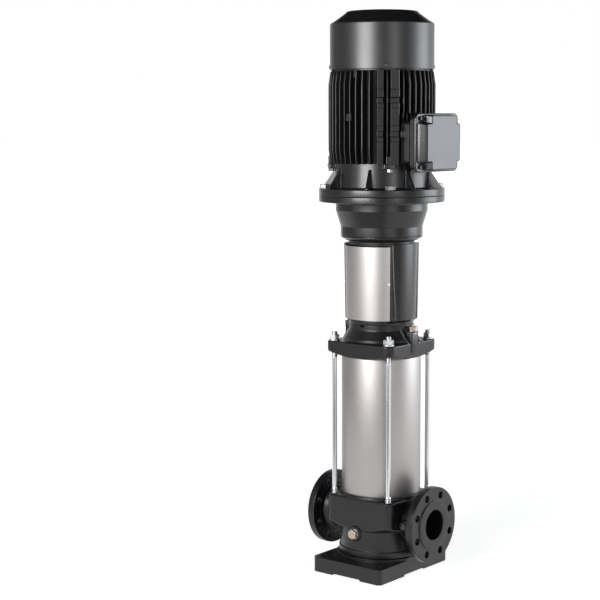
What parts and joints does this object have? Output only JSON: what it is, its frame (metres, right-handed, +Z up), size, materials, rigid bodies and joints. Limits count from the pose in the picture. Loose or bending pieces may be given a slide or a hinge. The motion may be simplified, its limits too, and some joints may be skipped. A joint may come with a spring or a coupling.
{
  "type": "vertical multistage pump",
  "caption": "Vertical multistage inline pump with flanged motor, steel sleeve, tie rods, coupling guards and flanged ports on a cast base.",
  "frame": {"origin": "centre of the base plate's underside, on the shaft axis", "axes": "+Z up along the shaft; +X towards the discharge port and the terminal box, -X towards the suction port; -Y towards the drain plug"},
  "size_m": [0.373, 0.33, 1.474],
  "materials": {
    "black_cast": "satin black coating on cast iron",
    "black_sheet": "satin black coating on sheet steel",
    "stainless_sheet": "brushed stainless sheet",
    "stainless_stage": "pressed stainless steel",
    "bright_rod": "bright ground steel",
    "zinc_steel": "zinc plated steel",
    "plug_steel": "turned stainless steel",
    "machined_iron": "machined grey iron",
    "wear_ring": "filled black plastic",
    "seal_rubber": "matt black rubber",
    "seal_ceramic": "polished dark seal ring",
    "lamination": "stacked electrical sheet",
    "winding_copper": "varnished copper wire",
    "bearing_steel": "ground bearing steel",
    "moulded_plastic": "moulded black plastic"
  },
  "bodies": {
    "housing": {"base_plate": "black_cast", "base_plate_screws": "zinc_steel", "bearing_outer_rings": "bearing_steel", "cable_entry_plugs": "moulded_plastic", "drain_plug": "plug_steel", "drive_end_shield": "black_cast", "end_shield_bolts": "zinc_steel", "fan_cover": "black_sheet", "fan_cover_screws": "zinc_steel", "front_coupling_guard": "stainless_sheet", "guard_screws": "zinc_steel", "head_screws": "zinc_steel", "inlet_ring": "stainless_stage", "lid_screws": "zinc_steel", "motor_flange_bolts": "zinc_steel", "motor_frame": "black_cast", "motor_stool": "black_cast", "neck_rings": "wear_ring", "non_drive_end_shield": "black_cast", "outer_sleeve": "stainless_sheet", "port_plugs": "plug_steel", "priming_plug": "plug_steel", "pump_base": "black_cast", "pump_head": "black_cast", "rear_coupling_guard": "stainless_sheet", "seal_carrier": "machined_iron", "seal_stationary_ring": "seal_ceramic", "sleeve_seals": "seal_rubber", "stage_bushes": "wear_ring", "stage_chamber_1": "stainless_stage", "stage_chamber_2": "stainless_stage", "stage_chamber_3": "stainless_stage", "stage_chamber_4": "stainless_stage", "stator_core": "lamination", "stator_windings": "winding_copper", "terminal_block": "moulded_plastic", "terminal_box_base": "black_cast", "terminal_box_gasket": "seal_rubber", "terminal_box_lid": "black_cast", "tie_rod_nuts": "zinc_steel", "tie_rod_washers": "zinc_steel", "tie_rods": "bright_rod", "top_guide": "stainless_stage"},
    "rotor_train": {"motor_shaft": "bright_rod", "rotor_core": "lamination", "fan": "moulded_plastic", "bearing_inner_rings": "bearing_steel", "coupling_front_half": "machined_iron", "coupling_rear_half": "machined_iron", "coupling_screws": "zinc_steel", "coupling_pin": "zinc_steel", "pump_shaft": "bright_rod", "impeller_1": "stainless_stage", "impeller_2": "stainless_stage", "impeller_3": "stainless_stage", "impeller_4": "stainless_stage", "impeller_spacers": "stainless_stage", "impeller_nut": "stainless_stage", "seal_rotating_ring": "seal_ceramic"},
    "vent": {"vent_screw": "plug_steel"}
  },
  "joints": [
    {"name": "shaft_spin", "type": "hinge", "parent": "housing", "child": "rotor_train", "pos_m": [0, 0, 0.9], "axis": [0, 0, 1], "continuous": true},
    {"name": "vent_turn", "type": "hinge", "parent": "housing", "child": "vent", "pos_m": [0.1025, 0, 0.66], "axis": [0, 0, 1], "range_deg": [0, 360]}
  ]
}
